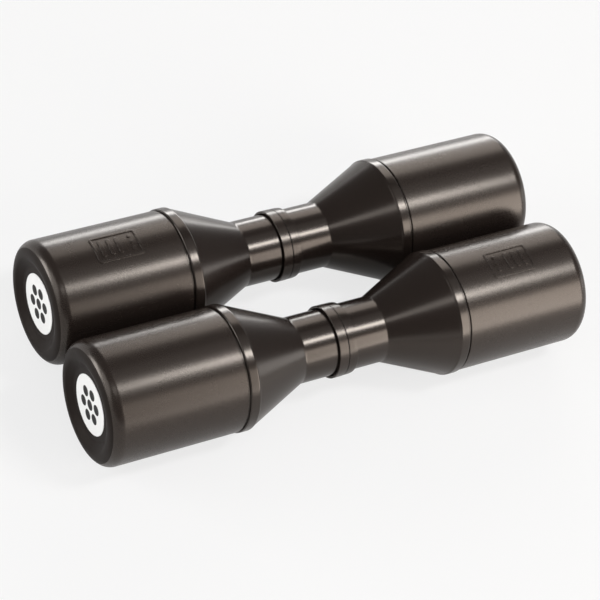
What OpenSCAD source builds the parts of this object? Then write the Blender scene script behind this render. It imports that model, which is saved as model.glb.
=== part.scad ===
// A pair of dumbbell shakers lying side by side.
// Each shaker is two shot-filled chambers, closed by cones that narrow to a neck
// for the hand. All sizes are in millimetres. The shakers lie along X, on Z = 0.

/* [Overall] */
// Length of one shaker from end to end
total_l = 265; // [250:1:300]
// Diameter of each chamber
chamber_d = 62.1; // [56:0.1:70]
// How far the rings stand proud of the chambers, so that a shaker lies on its rings
ring_proud = 0.6; // [0.4:0.1:4]
// Diameter of the neck that the hand holds
neck_d = 33.4; // [30:0.1:38]
// Wall thickness of the moulded shells
wall = 2.2; // [1.6:0.1:3]
// Air gap between the two shakers where they lie side by side
pair_gap = 0.9; // [0.3:0.1:20]
// How far the rear shaker lies ahead of the front one
stagger = 1.1; // [0:0.1:20]

/* [Chamber] */
// Length of a chamber's shell, from its closed end to its open rim
chamber_l = 70.7; // [60:0.1:80]
// Radius of the rounded edge round the closed end
corner_r = 6.5; // [4:0.1:8]
// Width of the flat crest that the shaker stands on when upright
crest_w = 1.2; // [0.8:0.1:2]
// Depth of the dish in the closed end
dish_depth = 2.6; // [1:0.1:3]
// Width of the dish's slope, from the crest in to the flat floor
dish_slope_w = 4.8; // [3:0.1:7]
// Bevel on the chamber's open rim
rim_bevel = 0.5; // [0.2:0.1:0.8]

/* [Label] */
// Bare margin between the round label and the edge of the dish's flat floor
label_margin = 3.3; // [0.5:0.1:5]
// Thickness of the label
label_t = 0.3; // [0.2:0.1:0.6]

/* [Cone] */
// Open groove between the chamber's rim and the cone's ring
rim_groove = 0.9; // [0.6:0.1:2]
// Width of the ring, its rounded shoulder included
ring_w = 5.5; // [4:0.1:8]
// Radius of the ring's rounded shoulder
shoulder_r = 1.5; // [0.3:0.1:3]
// How far below the ring's surface the cone starts
cone_step = 0.55; // [0.5:0.05:3]
// Length of the cone, from the ring to the neck
cone_l = 32.4; // [28:0.1:36]
// Radius of the fillet between the cone and the neck
neck_fillet_r = 2.4; // [1:0.1:4]
// How far the cone's spigot reaches into the chamber
spigot_l = 8; // [5:0.5:12]
// Wall thickness of the spigot
spigot_wall = 2; // [1.5:0.1:3]
// Radial glue gap between the spigot and the chamber, and round the lid
spigot_gap = 0.1; // [0.05:0.05:0.2]
// Thickness of the flat lid that keeps the shot in its chamber
lid_t = 1.6; // [1:0.1:3]

/* [Coupling] */
// Width of the coupling ring
coupling_w = 5; // [4:0.1:8]
// Thickness of the coupling ring's web, held between the two necks
web_t = 1.6; // [1:0.1:2.4]
// Open gap between the coupling ring's skirt and the neck inside it
skirt_gap = 0.45; // [0.3:0.05:0.6]
// Thickness of the coupling ring's skirt
skirt_t = 1.15; // [0.8:0.05:3]
// Bevel on the coupling ring's outer edges
coupling_bevel = 0.3; // [0.1:0.05:0.5]
// Width of the parting groove beside the coupling ring
parting_w = 0.35; // [0.3:0.05:0.8]
// Depth of the parting groove below the stepped collar
parting_depth = 1.1; // [0.6:0.1:1.1]
// Height of the stepped collar's first step above the neck
collar_step_h = 1.5; // [1.2:0.1:1.7]
// Drop from the first step of the collar to the second
collar_drop = 0.2; // [0.2:0.05:0.8]
// Distance from the joint to the drop
collar_mid = 3.6; // [1.5:0.1:4]
// Distance from the joint to the collar's end
collar_end = 5.1; // [4.5:0.1:7]
// Bevel on the collar's steps
collar_bevel = 0.3; // [0.1:0.05:0.3]
// Length of the tube glued inside both necks
joiner_l = 36; // [20:1:40]
// Wall thickness of that tube
joiner_wall = 2; // [1.5:0.1:3]
// Radial glue gap between that tube and the necks
joiner_gap = 0.1; // [0.05:0.05:0.2]

/* [Shot] */
// Diameter of one steel ball
shot_d = 5; // [4:0.1:5.5]
// Least air gap between neighbouring balls, and between balls and shell
shot_gap = 0.15; // [0.1:0.05:0.3]
// Rows of balls across the chamber's floor
shot_rows = 5; // [3:1:6]
// Balls in each row
shot_in_row = 5; // [3:1:6]

/* [Raised pattern] */
// Height of the raised pattern on each chamber
relief_h = 0.5; // [0.2:0.05:0.5]
// Length of the pattern along the shaker
relief_l = 24; // [20:1:28]
// Width of the pattern across the shaker
relief_w = 16; // [14:1:18]
// Width of the pattern's frame line
relief_line = 1.2; // [0.8:0.1:1.4]
// Clear margin inside that frame
relief_margin = 2; // [1:0.1:3]
// Width of each bar in the pattern
relief_bar_w = 2.2; // [1:0.1:2.4]
// Diameter of each dot in the pattern
relief_dot_d = 2; // [1:0.1:3]
// Distance from the chamber's closed end to the middle of the pattern
relief_at = 39; // [30:0.5:45]
// Lean of the pattern on the front shaker, left and right: 0 is straight up, 90 is to the rear
front_turn = [-160, -4]; // [-180:1:180]
// Lean of the pattern on the rear shaker, left and right
rear_turn = [0, 150]; // [-180:1:180]

/* [Hidden] */

ABS_BLACK = [0.16, 0.14, 0.13];
ABS_INNER = [0.22, 0.21, 0.20];
LABEL_WHITE = [0.95, 0.95, 0.93];
SHOT_STEEL = [0.70, 0.70, 0.72];
ARC_STEPS = 8;
SMALL_ARC_STEPS = 4;
$fn = 96;

half_l = total_l / 2;
chamber_r = chamber_d / 2;
ring_r = chamber_r + ring_proud;
neck_r = neck_d / 2;
bore_r = chamber_r - wall;
neck_bore_r = neck_r - wall;
crest_out_r = chamber_r - corner_r;
crest_in_r = crest_out_r - crest_w;
dish_r = crest_in_r - dish_slope_w;
label_r = dish_r - label_margin;

spigot_r = bore_r - spigot_gap;
spigot_start = chamber_l - spigot_l;
ring_start = chamber_l + rim_groove;
ring_end = ring_start + ring_w;
cone_end = ring_end + cone_l;
cone_r = ring_r - cone_step;
cone_angle = atan((cone_r - neck_r) / cone_l);
// Radial thickness of the cone's slanted wall, for a wall of the stated thickness
cone_wall_r = wall / cos(cone_angle);

joiner_r = neck_bore_r - joiner_gap;
coupling_r = neck_r + skirt_gap + skirt_t;
axis_y = ring_r + pair_gap / 2;

// How far round the ring's shoulder turns before it meets the cone
shoulder_turn = shoulder_r > cone_step ? acos(1 - cone_step / shoulder_r) : 90;

// Points of an arc about (x, y), from angle a to angle b
function arc(x, y, r, a, b, steps = ARC_STEPS) =
    [for (i = [0:steps]) let (t = a + (b - a) * i / steps) [x + r * cos(t), y + r * sin(t)]];

// A smooth step from [r0, s0] to [r1, s1] that starts and ends flat
function smooth_step(r0, s0, r1, s1, steps = ARC_STEPS) =
    [for (i = [1:steps - 1])
        let (t = i / steps)
        [r0 + (r1 - r0) * t, s0 + (s1 - s0) * (1 - cos(180 * t)) / 2]];

// Turns a profile of [radius, distance from the closed end] about the shaker's axis,
// as the left half of a shaker whose middle is the origin
module turned(profile) {
    translate([-half_l, 0, 0]) rotate([0, 90, 0]) rotate_extrude() polygon(profile);
}

// Places a left half as drawn, or mirrored as a right half
module place_half(side) {
    mirror([side == "right" ? 1 : 0, 0, 0]) children();
}

// Places a whole shaker's piece on the surface, at the front or the rear
module place_shaker(row) {
    sign = row == "rear" ? 1 : -1;
    translate([sign * stagger / 2, sign * axis_y, ring_r]) children();
}

// Flat outline of the raised pattern: a frame, three bars and a column of dots
module relief_outline() {
    inside_l = relief_l - 2 * relief_line;
    inside_w = relief_w - 2 * relief_line;
    bar_l = inside_w - 2 * relief_margin;
    first_bar = relief_margin + relief_bar_w / 2 - inside_l / 2;
    dots_x = inside_l / 2 - relief_margin - relief_dot_d / 2;
    dot_pitch = (bar_l - relief_dot_d) / 2;
    difference() {
        square([relief_l, relief_w], center = true);
        square([inside_l, inside_w], center = true);
    }
    for (i = [0:2])
        translate([first_bar + 2 * i * relief_bar_w, 0]) square([relief_bar_w, bar_l], center = true);
    for (i = [-1:1]) translate([dots_x, i * dot_pitch]) circle(d = relief_dot_d, $fn = 24);
}

// The outline cut from a thin sleeve round the chamber, and turned about the shaker's axis
module raised_pattern(turn) {
    rotate([-turn, 0, 0])
    intersection() {
        translate([relief_at - half_l, 0, bore_r + wall / 2])
            linear_extrude(wall + relief_h) relief_outline();
        translate([relief_at - relief_l - half_l, 0, 0]) rotate([0, 90, 0])
            cylinder(r = chamber_r + relief_h, h = 2 * relief_l);
    }
}

// Chamber: a cup with a dished closed end and a rounded edge
module chamber(row, side) {
    outer = concat(
        [[0, dish_depth], [dish_r, dish_depth]],
        smooth_step(dish_r, dish_depth, crest_in_r, 0),
        [[crest_in_r, 0]],
        arc(crest_out_r, corner_r, corner_r, -90, 0),
        [[chamber_r, chamber_l - rim_bevel], [chamber_r - rim_bevel, chamber_l]]
    );
    inner = concat(
        [[bore_r, chamber_l]],
        arc(crest_out_r, corner_r, corner_r - wall, 0, -90),
        [[crest_in_r, wall], [dish_r, dish_depth + wall], [0, dish_depth + wall]]
    );
    turns = row == "front" ? front_turn : rear_turn;
    turn = side == "left" ? turns[0] : turns[1];
    color(ABS_BLACK) place_shaker(row) place_half(side) {
        turned(concat(outer, inner));
        raised_pattern(turn);
    }
}

// Label: a thin disc stuck on the dish's floor
module label(row, side) {
    color(LABEL_WHITE) place_shaker(row) place_half(side)
        translate([dish_depth - label_t - half_l, 0, 0]) rotate([0, 90, 0])
            cylinder(r = label_r, h = label_t);
}

// Lid: a flat disc on the spigot's end that keeps the shot in the chamber
module lid(row, side) {
    color(ABS_INNER) place_shaker(row) place_half(side)
        translate([spigot_start - lid_t - half_l, 0, 0]) rotate([0, 90, 0]) cylinder(r = spigot_r, h = lid_t);
}

// Cone: spigot, ring, cone and neck in one moulding. The right one ends in a stepped
// collar at the joint, and the left one ends plain, inside the coupling ring.
module cone(row, side) {
    fillet_run = neck_fillet_r * tan(cone_angle / 2);
    spigot_bore = spigot_r - spigot_wall;
    bore_start = cone_end - (spigot_bore + cone_wall_r - neck_r) / tan(cone_angle);
    bore_end = cone_end - (neck_bore_r + cone_wall_r - neck_r) / tan(cone_angle);
    fillet_middle = [neck_r + neck_fillet_r, cone_end + fillet_run];
    collar_r = neck_r + collar_step_h;
    low_r = collar_r - collar_drop;
    shoulder_middle = [ring_r - shoulder_r, ring_end - shoulder_r * sin(shoulder_turn)];
    body = concat(
        [[spigot_bore, spigot_start], [spigot_r, spigot_start], [spigot_r, ring_start], [ring_r, ring_start]],
        arc(shoulder_middle.x, shoulder_middle.y, shoulder_r, 0, shoulder_turn, SMALL_ARC_STEPS),
        shoulder_r < cone_step ? [[cone_r, ring_end]] : [],
        arc(fillet_middle.x, fillet_middle.y, neck_fillet_r, 180 + cone_angle, 180, SMALL_ARC_STEPS)
    );
    plain_end = [[neck_r, half_l - web_t], [neck_bore_r, half_l - web_t]];
    collar = [
        [neck_r, half_l - collar_end],
        [low_r - collar_bevel, half_l - collar_end],
        [low_r, half_l - collar_end + collar_bevel],
        [low_r, half_l - collar_mid],
        [collar_r, half_l - collar_mid],
        [collar_r, half_l - parting_w],
        [collar_r - parting_depth, half_l - parting_w],
        [collar_r - parting_depth, half_l],
        [neck_bore_r, half_l],
    ];
    bore = [[neck_bore_r, bore_end], [spigot_bore, bore_start]];
    color(ABS_BLACK) place_shaker(row) place_half(side)
        turned(concat(body, side == "left" ? plain_end : collar, bore));
}

// Coupling ring: a web held between the necks, and a skirt round the left one
module coupling_ring(row) {
    skirt_r = neck_r + skirt_gap;
    web_bore = joiner_r + joiner_gap;
    color(ABS_BLACK) place_shaker(row) turned([
        [web_bore, half_l],
        [web_bore, half_l - web_t],
        [skirt_r, half_l - web_t],
        [skirt_r, half_l - coupling_w],
        [coupling_r - coupling_bevel, half_l - coupling_w],
        [coupling_r, half_l - coupling_w + coupling_bevel],
        [coupling_r, half_l - coupling_bevel],
        [coupling_r - coupling_bevel, half_l],
    ]);
}

// Joining tube: glued inside both necks, and through the coupling ring
module joining_tube(row) {
    color(ABS_INNER) place_shaker(row)
        translate([-joiner_l / 2, 0, 0]) rotate([0, 90, 0]) difference() {
            cylinder(r = joiner_r, h = joiner_l);
            translate([0, 0, -1]) cylinder(r = joiner_r - joiner_wall, h = joiner_l + 2);
        }
}

// Shot: two layers of loose balls, side by side on the chamber's curved floor
module shot(row, side) {
    pitch = shot_d + shot_gap;
    floor_r = bore_r - shot_gap - shot_d / 2;
    // A ball of the upper layer sits half a pitch along from those below it
    layer_h = sqrt(pitch * pitch * 3 / 4) + shot_gap;
    inside_start = dish_depth + wall;
    heap_mid = (inside_start + spigot_start - lid_t) / 2;
    color(SHOT_STEEL) place_shaker(row) place_half(side)
        for (layer = [0, 1]) {
            r = floor_r - layer * layer_h;
            step = 2 * asin(pitch / 2 / r);
            rows = shot_rows - layer;
            in_row = shot_in_row - layer;
            for (i = [0:rows - 1], j = [0:in_row - 1])
                rotate([(i - (rows - 1) / 2) * step, 0, 0])
                    translate([heap_mid - half_l + (j - (in_row - 1) / 2) * pitch, 0, -r])
                        sphere(d = shot_d, $fn = 24);
        }
}

chamber("front", "left");  // front_left_chamber
label("front", "left");  // front_left_label
lid("front", "left");  // front_left_lid
shot("front", "left");  // front_left_shot
cone("front", "left");  // front_left_cone
coupling_ring("front");  // front_coupling_ring
joining_tube("front");  // front_joining_tube
cone("front", "right");  // front_right_cone
shot("front", "right");  // front_right_shot
lid("front", "right");  // front_right_lid
label("front", "right");  // front_right_label
chamber("front", "right");  // front_right_chamber
chamber("rear", "left");  // rear_left_chamber
label("rear", "left");  // rear_left_label
lid("rear", "left");  // rear_left_lid
shot("rear", "left");  // rear_left_shot
cone("rear", "left");  // rear_left_cone
coupling_ring("rear");  // rear_coupling_ring
joining_tube("rear");  // rear_joining_tube
cone("rear", "right");  // rear_right_cone
shot("rear", "right");  // rear_right_shot
lid("rear", "right");  // rear_right_lid
label("rear", "right");  // rear_right_label
chamber("rear", "right");  // rear_right_chamber
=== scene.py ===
# %% [markdown]
# # A pair of dumbbell shakers
#
# Each shaker is a pair of closed chambers with steel shot inside, joined by cones to a
# slim neck. Everything on it was turned or moulded round one straight axis, so nearly
# every piece here is made in the same way: draw half of its outline, round the corners,
# and spin it. This lesson builds those pieces, gives them their finishes, and sets the
# studio round them.

# %% Load the measured model
import math
import bmesh
import bpy
from mathutils import Matrix, Vector


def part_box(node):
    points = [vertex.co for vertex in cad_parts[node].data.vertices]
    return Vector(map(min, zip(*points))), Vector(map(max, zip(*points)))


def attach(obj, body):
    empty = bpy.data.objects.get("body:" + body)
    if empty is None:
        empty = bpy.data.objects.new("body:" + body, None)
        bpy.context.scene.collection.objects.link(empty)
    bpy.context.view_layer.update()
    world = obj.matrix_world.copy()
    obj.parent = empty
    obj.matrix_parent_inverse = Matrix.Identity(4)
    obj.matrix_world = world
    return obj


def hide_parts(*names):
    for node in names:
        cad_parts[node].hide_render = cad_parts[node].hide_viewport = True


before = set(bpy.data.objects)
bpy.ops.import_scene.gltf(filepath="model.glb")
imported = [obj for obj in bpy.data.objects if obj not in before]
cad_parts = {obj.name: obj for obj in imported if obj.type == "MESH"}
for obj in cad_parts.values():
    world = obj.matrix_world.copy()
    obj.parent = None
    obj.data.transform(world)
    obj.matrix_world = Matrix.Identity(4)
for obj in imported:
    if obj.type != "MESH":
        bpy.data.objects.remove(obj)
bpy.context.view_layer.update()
print("nodes:", len(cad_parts))

# %% [markdown]
# ## Sizes
#
# The engineering model is the ruler. Where a piece begins and ends is read from the
# boxes of its nodes, so the visible pieces can't drift away from it. What a box can't
# say, such as a wall or a fillet, is a named value here, in metres.

# %% Read the shakers' sizes
MM = 0.001
ROWS = ["front", "rear"]
SIDES = ["left", "right"]
GLUE_GAP = 0.1 * MM


def box_size(node):
    """The length of a node's box along X, Y and Z."""
    low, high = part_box(node)
    return high - low


def row_centre(row):
    """The middle of a shaker's axis."""
    left_low, left_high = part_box(f"{row}_left_cone")
    chamber_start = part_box(f"{row}_left_chamber")[0].x
    chamber_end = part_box(f"{row}_right_chamber")[1].x
    middle = (left_low + left_high) / 2
    return Vector(((chamber_start + chamber_end) / 2, middle.y, middle.z))


half_length = (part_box("front_right_chamber")[1].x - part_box("front_left_chamber")[0].x) / 2
chamber_length = box_size("front_left_chamber").x
chamber_radius = box_size("front_left_chamber").y / 2
ring_radius = box_size("front_left_cone").y / 2
coupling_radius = box_size("front_coupling_ring").y / 2
coupling_width = box_size("front_coupling_ring").x
label_radius = box_size("front_left_label").y / 2
label_thickness = box_size("front_left_label").x
spigot_radius = box_size("front_left_lid").y / 2
tube_radius = box_size("front_joining_tube").y / 2
spigot_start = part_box("front_left_cone")[0].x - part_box("front_left_chamber")[0].x
plain_neck_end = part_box("front_left_cone")[1].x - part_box("front_left_chamber")[0].x
dish_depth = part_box("front_left_label")[1].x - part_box("front_left_chamber")[0].x
neck_bore_radius = tube_radius + GLUE_GAP
print(f"half length {half_length / MM:.1f} mm, chamber radius {chamber_radius / MM:.2f} mm")

# %% [markdown]
# ## Spinning an outline
#
# A turned piece could be a stack of cylinders, but then every edge would be a hard
# corner, and hard corners are what makes a model look unreal. So the outline is a short
# list of corners, each with its own rounding. Beveling the corners while the outline is
# still a wire is cheap and exact. Spin then carries the rounded wire once round the axis.
#
# Smooth shading would now bend the light on a broad band towards the small rounding
# beside it. Weighted normals let the larger face decide, so the bands stay true.

# %% A lathe for outlines
RING_STEPS = 256
MERGE_DISTANCE = 0.002 * MM
SMOOTH_ANGLE = math.radians(28)


def rounded_wire(bm, corners, closed):
    """Draws the outline. Each corner is (distance along the axis, radius, rounding, segments)."""
    verts = [bm.verts.new((along, 0, radius)) for along, radius, _, _ in corners]
    pairs = list(zip(verts, verts[1:]))
    if closed:
        pairs.append((verts[-1], verts[0]))
    for pair in pairs:
        bm.edges.new(pair)
    for vert, (_, _, rounding, segments) in zip(verts, corners):
        if rounding > 0:
            bmesh.ops.bevel(bm, geom=[vert], offset=rounding, offset_type="OFFSET", segments=segments,
                            profile=0.5, affect="VERTICES", material=-1)


def lathe(bm, corners, closed=False, steps=RING_STEPS):
    """Spins a rounded outline once round the X axis into a closed shell."""
    rounded_wire(bm, corners, closed)
    bmesh.ops.spin(bm, geom=bm.verts[:] + bm.edges[:], cent=(0, 0, 0), axis=(1, 0, 0),
                   angle=2 * math.pi, steps=steps, use_merge=True, use_duplicate=False)
    bmesh.ops.remove_doubles(bm, verts=bm.verts[:], dist=MERGE_DISTANCE)
    bmesh.ops.recalc_face_normals(bm, faces=bm.faces[:])


def place_half(bm, row, side):
    """Moves a half drawn from its closed end at X = 0 to its place on a shaker."""
    bmesh.ops.translate(bm, verts=bm.verts[:], vec=(-half_length, 0, 0))
    if side == "right":
        bmesh.ops.scale(bm, verts=bm.verts[:], vec=(-1, 1, 1))
        bmesh.ops.reverse_faces(bm, faces=bm.faces[:])
    bmesh.ops.translate(bm, verts=bm.verts[:], vec=row_centre(row))


def finish_piece(bm, name, row, node):
    """Turns a bmesh into an object that rides on its shaker and stands for a CAD node."""
    mesh = bpy.data.meshes.new(name)
    bm.to_mesh(mesh)
    bm.free()
    mesh.polygons.foreach_set("use_smooth", [True] * len(mesh.polygons))
    mesh.set_sharp_from_angle(angle=SMOOTH_ANGLE)
    piece = bpy.data.objects.new(name, mesh)
    flatten = piece.modifiers.new("keep_broad_faces_true", "WEIGHTED_NORMAL")
    flatten.mode = "FACE_AREA"
    flatten.keep_sharp = True
    bpy.context.scene.collection.objects.link(piece)
    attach(piece, f"{row}_shaker")
    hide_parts(node)
    return piece


print("lathe ready,", RING_STEPS, "steps to a turn")

# %% [markdown]
# ## The chambers
#
# A chamber is a moulded cup. Its closed end isn't flat: a round edge rises to a narrow
# crest that the shaker can stand on, and inside the crest the end sinks to a shallow
# dish for the label. One outline, walked from the middle of the dish round the outside
# and back along the inside, gives the shell a real thickness.

# %% Chamber shells
WALL = 2.2 * MM
EDGE_ROUNDING = 6.5 * MM
CREST_WIDTH = 1.2 * MM
DISH_SLOPE = 4.8 * MM
RIM_ROUNDING = 0.5 * MM

crest_outer = chamber_radius - EDGE_ROUNDING
crest_inner = crest_outer - CREST_WIDTH
dish_radius = crest_inner - DISH_SLOPE


def chamber_outline():
    """Corners of the cup, from the middle of the dish to the rim and back inside."""
    return [
        (dish_depth, 0, 0, 0),
        (dish_depth, dish_radius, 0.7 * MM, 4),
        (0, crest_inner, 0.9 * MM, 5),
        (0, chamber_radius, EDGE_ROUNDING, 18),
        (chamber_length, chamber_radius, RIM_ROUNDING, 5),
        (chamber_length, chamber_radius - WALL, 0.25 * MM, 2),
        (WALL, chamber_radius - WALL, EDGE_ROUNDING - WALL, 8),
        (WALL, crest_inner, 0, 0),
        (dish_depth + WALL, dish_radius, 0, 0),
        (dish_depth + WALL, 0, 0, 0),
    ]


# %% [markdown]
# ## The raised pattern
#
# Each chamber carries a small raised pattern, moulded with it: a frame, three bars and a
# column of dots. It could be a bump in the material, but then it would vanish from the
# silhouette. So it is drawn flat as thin slabs, beveled, cut into strips, and then
# wrapped round the chamber.

# %% Raised pattern
RELIEF_HEIGHT = 0.48 * MM
RELIEF_SIZE = (24 * MM, 16 * MM)
RELIEF_LINE = 1.2 * MM
RELIEF_ROUNDING = 0.2 * MM
RELIEF_MARGIN = 2.0 * MM
RELIEF_BAR = 2.2 * MM
RELIEF_DOT = 2.0 * MM
RELIEF_SINK = 0.12 * MM
RELIEF_FROM_END = 39.0 * MM
RELIEF_CORNER = 1.6 * MM
RELIEF_LEAN = {
    ("front", "left"): -160,
    ("front", "right"): -4,
    ("rear", "left"): 0,
    ("rear", "right"): 150,
}
STRIP_WIDTH = 0.5 * MM


def flat_slab(bm, width, depth, at, corner):
    """A slab of the pattern: a rectangle with round corners, as a face at Z = 0."""
    made = bmesh.ops.create_grid(bm, x_segments=1, y_segments=1, size=0.5)
    verts = made["verts"]
    bmesh.ops.scale(bm, verts=verts, vec=(width, depth, 1))
    bmesh.ops.translate(bm, verts=verts, vec=(at[0], at[1], 0))
    face = verts[0].link_faces[0]
    rounded = bmesh.ops.bevel(bm, geom=verts, offset=corner, offset_type="OFFSET", segments=5,
                              profile=0.5, affect="VERTICES", material=-1)
    return [f for f in bm.faces if f in rounded["faces"] or f == face]


def relief_faces(bm):
    """Draws the whole pattern flat, around the origin."""
    length, width = RELIEF_SIZE
    inside_length = length - 2 * RELIEF_LINE
    bar_length = width - 2 * RELIEF_LINE - 2 * RELIEF_MARGIN
    flat_slab(bm, length, width, (0, 0), RELIEF_CORNER)
    frame_face = bm.faces[:]
    bmesh.ops.inset_region(bm, faces=frame_face, thickness=RELIEF_LINE, use_even_offset=True,
                           use_boundary=True)
    bmesh.ops.delete(bm, geom=frame_face, context="FACES")
    first_bar = RELIEF_MARGIN + RELIEF_BAR / 2 - inside_length / 2
    for count in range(3):
        flat_slab(bm, RELIEF_BAR, bar_length, (first_bar + 2 * count * RELIEF_BAR, 0), RELIEF_BAR * 0.3)
    dots_at = inside_length / 2 - RELIEF_MARGIN - RELIEF_DOT / 2
    dot_pitch = (bar_length - RELIEF_DOT) / 2
    for count in (-1, 0, 1):
        bmesh.ops.create_circle(bm, cap_ends=True, segments=20, radius=RELIEF_DOT / 2,
                                matrix=Matrix.Translation((dots_at, count * dot_pitch, 0)))


def add_relief(bm, lean):
    """Adds the pattern to a chamber that is drawn from its closed end at X = 0."""
    raised = bmesh.new()
    relief_faces(raised)
    pushed = bmesh.ops.extrude_face_region(raised, geom=raised.faces[:])
    top = [v for v in pushed["geom"] if isinstance(v, bmesh.types.BMVert)]
    bmesh.ops.translate(raised, verts=top, vec=(0, 0, RELIEF_HEIGHT + RELIEF_SINK))
    bmesh.ops.recalc_face_normals(raised, faces=raised.faces[:])
    high = [e for e in raised.edges if all(v.co.z > RELIEF_SINK for v in e.verts)]
    rim = [e for e in high if e.calc_face_angle(0) > 1]
    bmesh.ops.bevel(raised, geom=rim, offset=RELIEF_ROUNDING, offset_type="OFFSET", segments=4, profile=0.5,
                    affect="EDGES", material=-1, clamp_overlap=True)
    cut = -RELIEF_SIZE[1] / 2 + STRIP_WIDTH
    while cut < RELIEF_SIZE[1] / 2:
        bmesh.ops.bisect_plane(raised, geom=raised.verts[:] + raised.edges[:] + raised.faces[:],
                               dist=MERGE_DISTANCE / 10, plane_co=(0, cut, 0), plane_no=(0, 1, 0))
        cut += STRIP_WIDTH
    for vert in raised.verts:
        around = math.radians(lean) + vert.co.y / chamber_radius
        out = chamber_radius - RELIEF_SINK + vert.co.z
        vert.co = (vert.co.x + RELIEF_FROM_END, out * math.sin(around), out * math.cos(around))
    mesh = bpy.data.meshes.new("raised_pattern")
    raised.to_mesh(mesh)
    raised.free()
    bm.from_mesh(mesh)
    bpy.data.meshes.remove(mesh)


# %% Make the chambers
chambers = {}
for row in ROWS:
    for side in SIDES:
        bm = bmesh.new()
        lathe(bm, chamber_outline())
        add_relief(bm, RELIEF_LEAN[(row, side)])
        place_half(bm, row, side)
        name = f"{row}_{side}_chamber"
        chambers[name] = finish_piece(bm, f"{name}_shell", row, name)
print("chambers:", {name: len(piece.data.polygons) for name, piece in chambers.items()})

# %% [markdown]
# ## The cones
#
# A cone is one moulding with four jobs: a spigot that plugs the chamber, a ring that the
# shaker lies on, the cone itself, and half of the neck. Between the chamber's rim and
# the ring a narrow groove stays open, with a seat for the rim as its bottom. The ring's
# shoulder is an arc that ends where the cone begins. The left cone ends plain, inside
# the coupling ring. The right one ends in a collar with two low steps.

# %% Cones
RIM_GROOVE = 0.9 * MM
GROOVE_DEPTH = 0.6 * MM
SEAT_CLEARANCE = 0.02 * MM
RING_WIDTH = 5.5 * MM
RING_ROUNDING = 0.65 * MM
SHOULDER_RADIUS = 1.5 * MM
CONE_STEP = 0.55 * MM
CONE_LENGTH = 32.4 * MM
NECK_RADIUS = 16.7 * MM
SPIGOT_WALL = 2.0 * MM
COLLAR_STEP = 1.5 * MM
COLLAR_DROP = 0.2 * MM
COLLAR_MIDDLE = 3.6 * MM
COLLAR_END = 5.1 * MM
PARTING_WIDTH = 0.35 * MM
PARTING_DEPTH = 1.1 * MM

seat_start = chamber_length + SEAT_CLEARANCE
groove_radius = chamber_radius - GROOVE_DEPTH
ring_start = chamber_length + RIM_GROOVE
ring_end = ring_start + RING_WIDTH
cone_radius = ring_radius - CONE_STEP
cone_end = ring_end + CONE_LENGTH
cone_slope = (cone_radius - NECK_RADIUS) / CONE_LENGTH
slanted_wall = WALL * math.hypot(1, cone_slope)
spigot_bore = spigot_radius - SPIGOT_WALL
collar_radius = NECK_RADIUS + COLLAR_STEP
low_collar = collar_radius - COLLAR_DROP


def wall_meets(radius):
    """Where the cone's inner wall has this radius."""
    return cone_end - (radius + slanted_wall - NECK_RADIUS) / cone_slope


def shoulder_arc(steps=8):
    """The ring's rounded shoulder, from the ring's surface down to where the cone starts."""
    last_turn = math.acos(1 - CONE_STEP / SHOULDER_RADIUS)
    centre_along = ring_end - SHOULDER_RADIUS * math.sin(last_turn)
    centre_radius = ring_radius - SHOULDER_RADIUS
    corners = []
    for count in range(steps + 1):
        turn = last_turn * count / steps
        along = centre_along + SHOULDER_RADIUS * math.sin(turn)
        corners.append((along, centre_radius + SHOULDER_RADIUS * math.cos(turn), 0, 0))
    return corners


def cone_outline(side):
    """Corners of the moulding, from the spigot's end to the neck's end and back inside."""
    outside = [
        (spigot_start, spigot_bore, 0.2 * MM, 2),
        (spigot_start, spigot_radius, 0.3 * MM, 2),
        (seat_start, spigot_radius, 0, 0),
        (seat_start, groove_radius, 0, 0),
        (ring_start, groove_radius, 0.15 * MM, 2),
        (ring_start, ring_radius, RING_ROUNDING, 5),
    ]
    outside += shoulder_arc()
    outside += [(cone_end, NECK_RADIUS, 0.6 * MM, 6)]
    plain_end = [(plain_neck_end, NECK_RADIUS, 0.25 * MM, 2), (plain_neck_end, neck_bore_radius, 0, 0)]
    collar_end = [
        (half_length - COLLAR_END, NECK_RADIUS, 0.1 * MM, 2),
        (half_length - COLLAR_END, low_collar, 0.3 * MM, 4),
        (half_length - COLLAR_MIDDLE, low_collar, 0.1 * MM, 2),
        (half_length - COLLAR_MIDDLE, collar_radius, 0.18 * MM, 3),
        (half_length - PARTING_WIDTH, collar_radius, 0.18 * MM, 3),
        (half_length - PARTING_WIDTH, collar_radius - PARTING_DEPTH, 0, 0),
        (half_length, collar_radius - PARTING_DEPTH, 0, 0),
        (half_length, neck_bore_radius, 0, 0),
    ]
    inside = [
        (wall_meets(neck_bore_radius), neck_bore_radius, 0.5 * MM, 3),
        (wall_meets(spigot_bore), spigot_bore, 2 * MM, 4),
    ]
    return outside + (plain_end if side == "left" else collar_end) + inside


cones = {}
for row in ROWS:
    for side in SIDES:
        bm = bmesh.new()
        lathe(bm, cone_outline(side), closed=True)
        place_half(bm, row, side)
        name = f"{row}_{side}_cone"
        cones[name] = finish_piece(bm, f"{name}_moulding", row, name)
print(f"cones from {ring_radius / MM:.2f} mm down to {NECK_RADIUS / MM:.1f} mm radius")

# %% [markdown]
# ## The coupling rings
#
# The coupling ring is clamped between the necks. Its skirt reaches back over the left
# neck without touching it, and the thin gap shows as a black line all round.

# %% Coupling rings
SKIRT_GAP = 0.45 * MM
WEB_THICKNESS = 1.6 * MM
COUPLING_ROUNDING = 0.2 * MM


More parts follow.
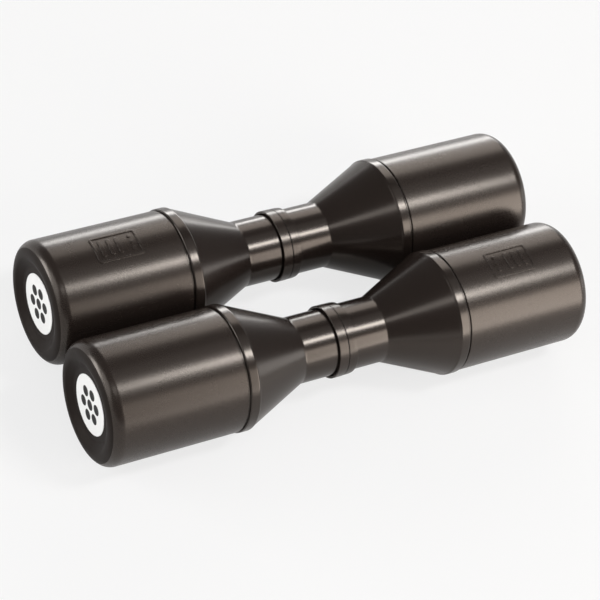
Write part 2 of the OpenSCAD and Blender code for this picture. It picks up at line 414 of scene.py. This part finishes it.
def coupling_outline():
    """Corners of the ring's L-shaped section, with X = 0 at the chamber's closed end."""
    web_start = half_length - WEB_THICKNESS
    skirt_start = half_length - coupling_width
    return [
        (half_length, neck_bore_radius, 0, 0),
        (web_start, neck_bore_radius, 0, 0),
        (web_start, NECK_RADIUS + SKIRT_GAP, 0.1 * MM, 2),
        (skirt_start, NECK_RADIUS + SKIRT_GAP, 0.15 * MM, 2),
        (skirt_start, coupling_radius, COUPLING_ROUNDING, 4),
        (half_length, coupling_radius, COUPLING_ROUNDING, 4),
    ]


coupling_rings = {}
for row in ROWS:
    bm = bmesh.new()
    lathe(bm, coupling_outline(), closed=True)
    place_half(bm, row, "left")
    name = f"{row}_coupling_ring"
    coupling_rings[name] = finish_piece(bm, f"{name}_turned", row, name)
print("coupling rings:", list(coupling_rings))

# %% [markdown]
# ## The labels
#
# A label is a coated paper disc. It has the same kind of outline as the rest, only very
# flat, with a soft edge where the cutter pressed it down.

# %% Labels
labels = {}
for row in ROWS:
    for side in SIDES:
        bm = bmesh.new()
        lathe(bm, [
            (dish_depth - label_thickness, 0, 0, 0),
            (dish_depth - label_thickness, label_radius, 0.12 * MM, 3),
            (dish_depth, label_radius, 0, 0),
            (dish_depth, 0, 0, 0),
        ])
        place_half(bm, row, side)
        name = f"{row}_{side}_label"
        labels[name] = finish_piece(bm, f"{name}_disc", row, name)
print(f"labels of {2 * label_radius / MM:.1f} mm across")

# %% [markdown]
# ## Shader arithmetic
#
# A finish is mostly arithmetic on masks and noises. Wiring Math nodes by hand hides that
# arithmetic, so a small class wraps a socket and lets plus, minus and times add the
# nodes. Any other node comes from one method, which is told its type, its settings and
# what goes into its sockets.

# %% A socket that does sums
class Value:
    """A node's output that takes part in arithmetic."""

    def __init__(self, finish, socket):
        self.finish = finish
        self.socket = socket

    def math(self, operation, *others):
        return self.finish.node("ShaderNodeMath", {"operation": operation}, [self, *others])

    def __add__(self, other):
        return self.math("ADD", other)

    def __mul__(self, other):
        return self.math("MULTIPLY", other)

    def __sub__(self, other):
        return self.math("SUBTRACT", other)

    def __rsub__(self, other):
        return self.finish.node("ShaderNodeMath", {"operation": "SUBTRACT"}, [other, self])

    def __lt__(self, other):
        return self.math("LESS_THAN", other)

    def __gt__(self, other):
        return self.math("GREATER_THAN", other)

    __radd__ = __add__
    __rmul__ = __mul__


class Finish:
    """A material whose nodes are added by calls and sums."""

    def __init__(self, name):
        self.material = bpy.data.materials.new(name)
        self.material.use_nodes = True
        self.tree = self.material.node_tree
        self.surface = self.tree.nodes["Principled BSDF"]

    def node(self, kind, settings=None, inputs=(), output=0):
        """Adds a node: its settings first, then its sockets by place or by name."""
        node = self.tree.nodes.new(kind)
        for key, value in (settings or {}).items():
            setattr(node, key, value)
        pairs = inputs.items() if isinstance(inputs, dict) else enumerate(inputs)
        for key, value in pairs:
            self.fill(node.inputs[key], value)
        return Value(self, node.outputs[output])

    def fill(self, socket, value):
        """Links a value to a socket, or sets the socket's own number or colour."""
        if isinstance(value, Value):
            self.tree.links.new(value.socket, socket)
        else:
            socket.default_value = value

    def place(self, location=(0, 0, 0), rotation=(0, 0, 0), scale=(1, 1, 1)):
        """The point being shaded, in metres, moved and stretched."""
        point = self.node("ShaderNodeTexCoord", output="Object")
        return self.node("ShaderNodeMapping", {"vector_type": "POINT"},
                         {"Vector": point, "Location": location, "Rotation": rotation, "Scale": scale})

    def noise(self, point, scale, detail=2.0, roughness=0.5):
        """Smooth noise from 0 to 1, with about scale features to a metre."""
        return self.node("ShaderNodeTexNoise", None,
                         {"Vector": point, "Scale": scale, "Detail": detail, "Roughness": roughness}, "Fac")

    def ramp(self, value, low, high, to_low=0.0, to_high=1.0):
        """Carries a range of a value smoothly to another range."""
        return self.node("ShaderNodeMapRange", {"interpolation_type": "SMOOTHSTEP", "clamp": True},
                         [value, low, high, to_low, to_high])

    def blend(self, mask, first, second):
        """Mixes two colours by a mask."""
        return self.node("ShaderNodeMix", {"data_type": "RGBA"},
                         {"Factor": mask, 6: first, 7: second}, 2)

    def bump(self, height, distance, strength=1.0):
        """Turns a height from 0 to 1 into a tilt of the surface."""
        return self.node("ShaderNodeBump", None,
                         {"Height": height, "Distance": distance, "Strength": strength})

    def set(self, **sockets):
        """Fills sockets of the surface. An underscore stands for a space."""
        for name, value in sockets.items():
            self.fill(self.surface.inputs[name.replace("_", " ")], value)


def dress(piece, finish):
    """Gives a piece one finish."""
    piece.data.materials.clear()
    piece.data.materials.append(finish.material)


print("shader arithmetic ready")

# %% [markdown]
# ## Moulded black plastic
#
# The shells are one black-brown plastic, but they don't shine alike. The chambers are
# satin, the cones and necks are a little glossier, and the dished ends are dull. The
# cones and necks are also painted a little darker, and the ends darker and less shiny,
# as painted shade. A near-black surface is seen almost only by what it reflects, so
# roughness carries the look: fine grain from the mould, broad faint cloudiness, and a
# few hairline scuffs.

# %% Black plastic
SCUFFS = 0.1
PALE_BLACK = (0.0175, 0.0125, 0.0105)
DEEP_BLACK = (0.0135, 0.0092, 0.0076)
SCUFF_COLOUR = (0.05, 0.045, 0.04, 1)
WARM_SHINE = (1.0, 0.9, 0.81, 1)
GRAIN_DEPTH = 0.0016 * MM
FACES_OUT = 0.8


def black_plastic(name, roughness, shade_lightness=1.0, reflectance=0.55):
    """The shells' plastic, with its own roughness and strength of shine; a lightness below 1 paints shade
    into its colour.
    """
    finish = Finish(name)
    point = finish.place()
    cloud = finish.noise(point, 38, 3)
    grain = finish.noise(point, 2600, 2, 0.6)
    peel = finish.noise(point, 320, 2)
    along = finish.place(rotation=(0.5, 0.1, 0.35), scale=(60, 1400, 1400))
    across = finish.place(rotation=(0.2, 0.4, 1.1), scale=(1500, 70, 1500))
    lines = finish.ramp(finish.noise(along, 1, 2, 0.4), 0.66, 0.72)
    lines = lines + finish.ramp(finish.noise(across, 1, 2, 0.4), 0.67, 0.73)
    patch = finish.ramp(finish.noise(point, 60, 2), 0.5, 0.68)
    scuff = lines * patch * SCUFFS
    # A lightness below 1 darkens the base colour as painted shade.
    pale = [part * shade_lightness for part in PALE_BLACK] + [1]
    deep = [part * shade_lightness for part in DEEP_BLACK] + [1]
    base = finish.blend(cloud, pale, deep)
    finish.set(Base_Color=finish.blend(scuff * 0.5, base, SCUFF_COLOUR))
    finish.set(Roughness=roughness + (cloud - 0.5) * 0.025 + grain * 0.015 + scuff * 0.12)
    finish.set(Specular_Tint=WARM_SHINE, Specular_IOR_Level=reflectance)
    finish.set(Normal=finish.bump(grain * 0.7 + peel * 0.3, GRAIN_DEPTH))
    return finish


def dress_end(piece, finish):
    """Gives the dished end of a chamber, inside its crest, a darker, less shiny copy of the plastic as
    painted shade.
    """
    piece.data.materials.append(finish.material)
    outermost = max(abs(face.center.x) for face in piece.data.polygons)
    dish_floor = outermost - dish_depth - 0.1 * MM
    for face in piece.data.polygons:
        outward = face.normal.x * math.copysign(1, face.center.x)
        if outward > FACES_OUT and abs(face.center.x) > dish_floor:
            face.material_index = 1


chamber_black = black_plastic("moulded_black", 0.265)
# These darker copies are painted shade: the ends' copy is darker and less shiny, the cones' copy a little
# darker.
shaded_end_black = black_plastic("shaded_end_black", 0.45, shade_lightness=0.7, reflectance=0.13)
shaded_cone_black = black_plastic("shaded_cone_black", 0.21, shade_lightness=0.8)
collar_black = black_plastic("collar_black", 0.24)
for piece in chambers.values():
    dress(piece, chamber_black)
    dress_end(piece, shaded_end_black)
for piece in cones.values():
    dress(piece, shaded_cone_black)
for piece in coupling_rings.values():
    dress(piece, collar_black)
print("black plastics:", [f.material.name for f in (chamber_black, shaded_end_black, shaded_cone_black, collar_black)])

# %% [markdown]
# ## The printed label
#
# The print is a cluster of dots, like shot seen from above. It is drawn by distance: a
# point is inked where it is nearer than a dot's radius to any dot's centre. The smallest
# of the distances is all that is needed, so the dots come from one loop.

# %% Label print
DOT_RADIUS = 2.75 * MM
DOT_PITCH = 7.1 * MM
INK_EDGE = 0.05 * MM


def dot_centres():
    """One dot in the middle and six round it."""
    turns = [math.radians(30 + 60 * count) for count in range(6)]
    return [(0, 0)] + [(DOT_PITCH * math.cos(turn), DOT_PITCH * math.sin(turn)) for turn in turns]


def printed_label(row):
    """White coated paper with the dots printed round the shaker's axis."""
    finish = Finish(f"{row}_printed_label")
    centre = row_centre(row)
    point = finish.place()
    parts = finish.node("ShaderNodeSeparateXYZ", None, [point])
    y = Value(finish, parts.socket.node.outputs["Y"]) - centre.y
    z = Value(finish, parts.socket.node.outputs["Z"]) - centre.z
    nearest = None
    for across, up in dot_centres():
        distance = ((y - across) * (y - across) + (z - up) * (z - up)).math("SQRT")
        nearest = distance if nearest is None else nearest.math("MINIMUM", distance)
    ink = finish.ramp(nearest, DOT_RADIUS - INK_EDGE, DOT_RADIUS + INK_EDGE, 1.0, 0.0)
    fibre = finish.noise(point, 900, 4, 0.7)
    cloud = finish.noise(point, 140, 2)
    paper = finish.blend(cloud, (0.86, 0.86, 0.85, 1), (0.8, 0.8, 0.785, 1))
    finish.set(Base_Color=finish.blend(ink, paper, (0.016, 0.015, 0.015, 1)))
    finish.set(Roughness=0.5 + fibre * 0.12 - ink * 0.1, Specular_IOR_Level=0.15)
    finish.set(Normal=finish.bump(fibre * 0.6 + ink * 0.4, 0.012 * MM))
    return finish


for row in ROWS:
    print_finish = printed_label(row)
    for side in SIDES:
        dress(labels[f"{row}_{side}_label"], print_finish)
print("print of", len(dot_centres()), "dots")

# %% [markdown]
# ## Inside the shakers
#
# The lids, the joining tubes and the shot are sealed in. The engineering model's own
# shapes are right for them, so they only get finishes: plain grey plastic with the
# swirl of a moulding, and steel balls dulled by rubbing on each other.

# %% Hidden pieces
def inner_plastic():
    """Plain grey plastic, left as it came from the mould."""
    finish = Finish("inner_plastic")
    point = finish.place()
    swirl = finish.noise(point, 90, 4, 0.6)
    grain = finish.noise(point, 1800, 2)
    finish.set(Base_Color=finish.blend(swirl, (0.10, 0.096, 0.09, 1), (0.14, 0.135, 0.13, 1)))
    finish.set(Roughness=0.45 + grain * 0.15)
    finish.set(Normal=finish.bump(grain, 0.01 * MM))
    return finish


def rubbed_steel():
    """Steel shot, dulled and scratched."""
    finish = Finish("rubbed_steel")
    point = finish.place()
    tarnish = finish.noise(point, 420, 3)
    scratch = finish.noise(finish.place(scale=(300, 5200, 1600)), 1, 3, 0.6)
    finish.set(Base_Color=finish.blend(tarnish, (0.60, 0.60, 0.61, 1), (0.46, 0.45, 0.44, 1)))
    finish.set(Metallic=1.0, Roughness=0.22 + scratch * 0.2)
    finish.set(Normal=finish.bump(scratch, 0.008 * MM))
    return finish


grey = inner_plastic()
steel = rubbed_steel()
for row in ROWS:
    dress(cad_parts[f"{row}_joining_tube"], grey)
    for side in SIDES:
        dress(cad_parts[f"{row}_{side}_lid"], grey)
        dress(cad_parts[f"{row}_{side}_shot"], steel)
print("hidden pieces dressed")

# %% [markdown]
# ## The floor
#
# The shakers lie on a plain pale floor that runs far beyond the view, so that it also
# stands behind the object when it is seen from low down. To the eye most of it is plain
# white, and in a reflection a part of it. The rest takes the light and the shadow. From
# beneath it is clear, so that the undersides can be looked at.

# %% Floor
FLOOR_RADIUS = 12.0
WHITE_TO_THE_EYE = 0.75
WHITE_IN_REFLECTIONS = 0.2

floor_mesh = bpy.data.meshes.new("studio_floor")
bm = bmesh.new()
bmesh.ops.create_circle(bm, cap_ends=True, segments=128, radius=FLOOR_RADIUS)
bm.to_mesh(floor_mesh)
bm.free()
floor = bpy.data.objects.new("studio_floor", floor_mesh)
bpy.context.scene.collection.objects.link(floor)

floor_finish = Finish("pale_floor")
floor_finish.set(Base_Color=(0.72, 0.72, 0.72, 1), Roughness=0.9, Specular_IOR_Level=0.1)
white = floor_finish.node("ShaderNodeEmission", None, {"Color": (1, 1, 1, 1), "Strength": 1.0})
path = floor_finish.node("ShaderNodeLightPath").socket.node.outputs
through_glass = Value(floor_finish, path["Is Transmission Ray"])
direct = Value(floor_finish, path["Is Camera Ray"]).math("MAXIMUM", through_glass)
seen = direct * WHITE_TO_THE_EYE + Value(floor_finish, path["Is Glossy Ray"]) * WHITE_IN_REFLECTIONS
plain = Value(floor_finish, floor_finish.surface.outputs["BSDF"])
lit = floor_finish.node("ShaderNodeMixShader", None, [seen, plain, white])
clear = floor_finish.node("ShaderNodeBsdfTransparent")
beneath = floor_finish.node("ShaderNodeNewGeometry", output="Backfacing")
lit = floor_finish.node("ShaderNodeMixShader", None, [beneath, lit, clear])
output = floor_finish.tree.nodes["Material Output"]
floor_finish.fill(output.inputs["Surface"], lit)
dress(floor, floor_finish)
print("floor radius", FLOOR_RADIUS, "m")

# %% [markdown]
# ## The studio
#
# A dark glossy tube shows the studio on its side like a strip of film: every lamp is a
# band, and every gap between lamps is a dark stripe. So the lamps are large soft panels,
# placed by the direction in which the shaker's side reflects them. A lamp's strength is
# given as its brightness as seen in a mirror, where 1 is white.

# %% Soft panels
def soft_panel(name, centre, size, brightness, colour=(1, 1, 1), aim=(0, 0, 0.03)):
    """A rectangular lamp that faces a point. Its first side lies along X as nearly as it can."""
    lamp = bpy.data.lights.new(name, "AREA")
    lamp.shape = "RECTANGLE"
    lamp.size, lamp.size_y = size
    lamp.energy = brightness * math.pi * size[0] * size[1]
    lamp.color = colour
    toward = (Vector(aim) - Vector(centre)).normalized()
    side = (Vector((1, 0, 0)) - toward * toward.x).normalized()
    up = side.cross(toward)
    turn = Matrix((side, up, -toward)).transposed()
    panel = bpy.data.objects.new(name, lamp)
    panel.matrix_world = Matrix.Translation(centre) @ turn.to_4x4()
    panel.visible_camera = False
    bpy.context.scene.collection.objects.link(panel)
    return panel


WARM = (1.0, 0.93, 0.87)
soft_panel("key_strip", (0.56, -0.43, 1.16), (0.42, 0.2), 27.5)
soft_panel("key_tail", (-0.35, -0.43, 1.16), (0.7, 0.2), 3.2)
soft_panel("front_panel", (0.34, -0.97, 0.41), (0.3, 0.8), 2.0, WARM, (0.1, 0, 0.1))
soft_panel("front_panel_middle", (0.515, -0.97, 0.41), (0.1, 0.8), 3.2, WARM, (0.1, 0, 0.1))
soft_panel("front_panel_right", (0.83, -0.97, 0.41), (0.53, 0.8), 6.3, WARM, (0.1, 0, 0.1))
soft_panel("right_glow", (1.25, -0.4, 0.17), (0.3, 0.32), 2.2)
soft_panel("rear_rim", (0.5, 1.05, 0.12), (0.6, 0.22), 9)
soft_panel("rear_rim_right", (0.95, 1.05, 0.07), (0.3, 0.16), 4.5)
soft_panel("rear_panel", (0.62, 0.95, 0.65), (0.7, 0.62), 2.5, WARM)
soft_panel("left_rear", (-1.13, 0.65, 0.32), (0.55, 0.5), 8)
soft_panel("left_panel", (-1.4, 0.1, 0.8), (1.0, 1.0), 2.2)
soft_panel("ceiling", (0.6, 0.05, 1.3), (1.0, 0.6), 0.35)
print("lamps:", [light.name for light in bpy.data.lights])

# %% [markdown]
# ## The surroundings
#
# Beyond the lamps the studio is white at the horizon and dark overhead. The white rim
# gives the pale background in low views, and the dark ceiling keeps the plastic black.
# The camera itself sees white everywhere.

# %% World
HORIZON_TOP = 0.08
HORIZON_FADE = 0.28
OVERHEAD = 0.15

world = bpy.data.worlds.new("studio")
bpy.context.scene.world = world
world.use_nodes = True
sky = world.node_tree
coordinate = sky.nodes.new("ShaderNodeTexCoord")
split = sky.nodes.new("ShaderNodeSeparateXYZ")
fade = sky.nodes.new("ShaderNodeMapRange")
fade.interpolation_type = "SMOOTHSTEP"
for socket, value in zip(fade.inputs[1:5], (HORIZON_TOP, HORIZON_FADE, 1.0, OVERHEAD)):
    socket.default_value = value
sky.links.new(coordinate.outputs["Generated"], split.inputs[0])
sky.links.new(split.outputs["Z"], fade.inputs[0])
seen_sky = sky.nodes.new("ShaderNodeMath")
seen_sky.operation = "MAXIMUM"
sky.links.new(fade.outputs[0], seen_sky.inputs[0])
sky.links.new(sky.nodes.new("ShaderNodeLightPath").outputs["Is Camera Ray"], seen_sky.inputs[1])
sky.links.new(seen_sky.outputs[0], sky.nodes["Background"].inputs["Strength"])
sky.nodes["Background"].inputs["Color"].default_value = (1, 1, 1, 1)
print("white up to", round(math.degrees(math.asin(HORIZON_TOP)), 1), "degrees")

# %% [markdown]
# ## The camera
#
# The view is a long lens from the front left, looking down at a steep angle, with the
# camera rolled so that the shakers climb to the right.

# %% Camera
AZIMUTH = math.radians(39.5)
ELEVATION = math.radians(48.2)
ROLL = math.radians(16.94)
DISTANCE = 1.25
LENS = 157.8
AIM = Vector((-0.02697, -0.0321, 0.07194))

forward = Vector((math.sin(AZIMUTH) * math.cos(ELEVATION), math.cos(AZIMUTH) * math.cos(ELEVATION),
                  -math.sin(ELEVATION)))
level_right = Vector((math.cos(AZIMUTH), -math.sin(AZIMUTH), 0))
level_up = level_right.cross(forward)
camera_right = math.cos(ROLL) * level_right + math.sin(ROLL) * level_up
camera_up = math.cos(ROLL) * level_up - math.sin(ROLL) * level_right

lens = bpy.data.cameras.new("studio_camera")
lens.lens = LENS
lens.sensor_width = 36
camera = bpy.data.objects.new("studio_camera", lens)
turn = Matrix((camera_right, camera_up, -forward)).transposed()
camera.matrix_world = Matrix.Translation(AIM - forward * DISTANCE) @ turn.to_4x4()
bpy.context.scene.collection.objects.link(camera)
bpy.context.scene.camera = camera
bpy.context.scene.view_settings.view_transform = "Standard"
print("camera at", [round(c, 3) for c in camera.location])
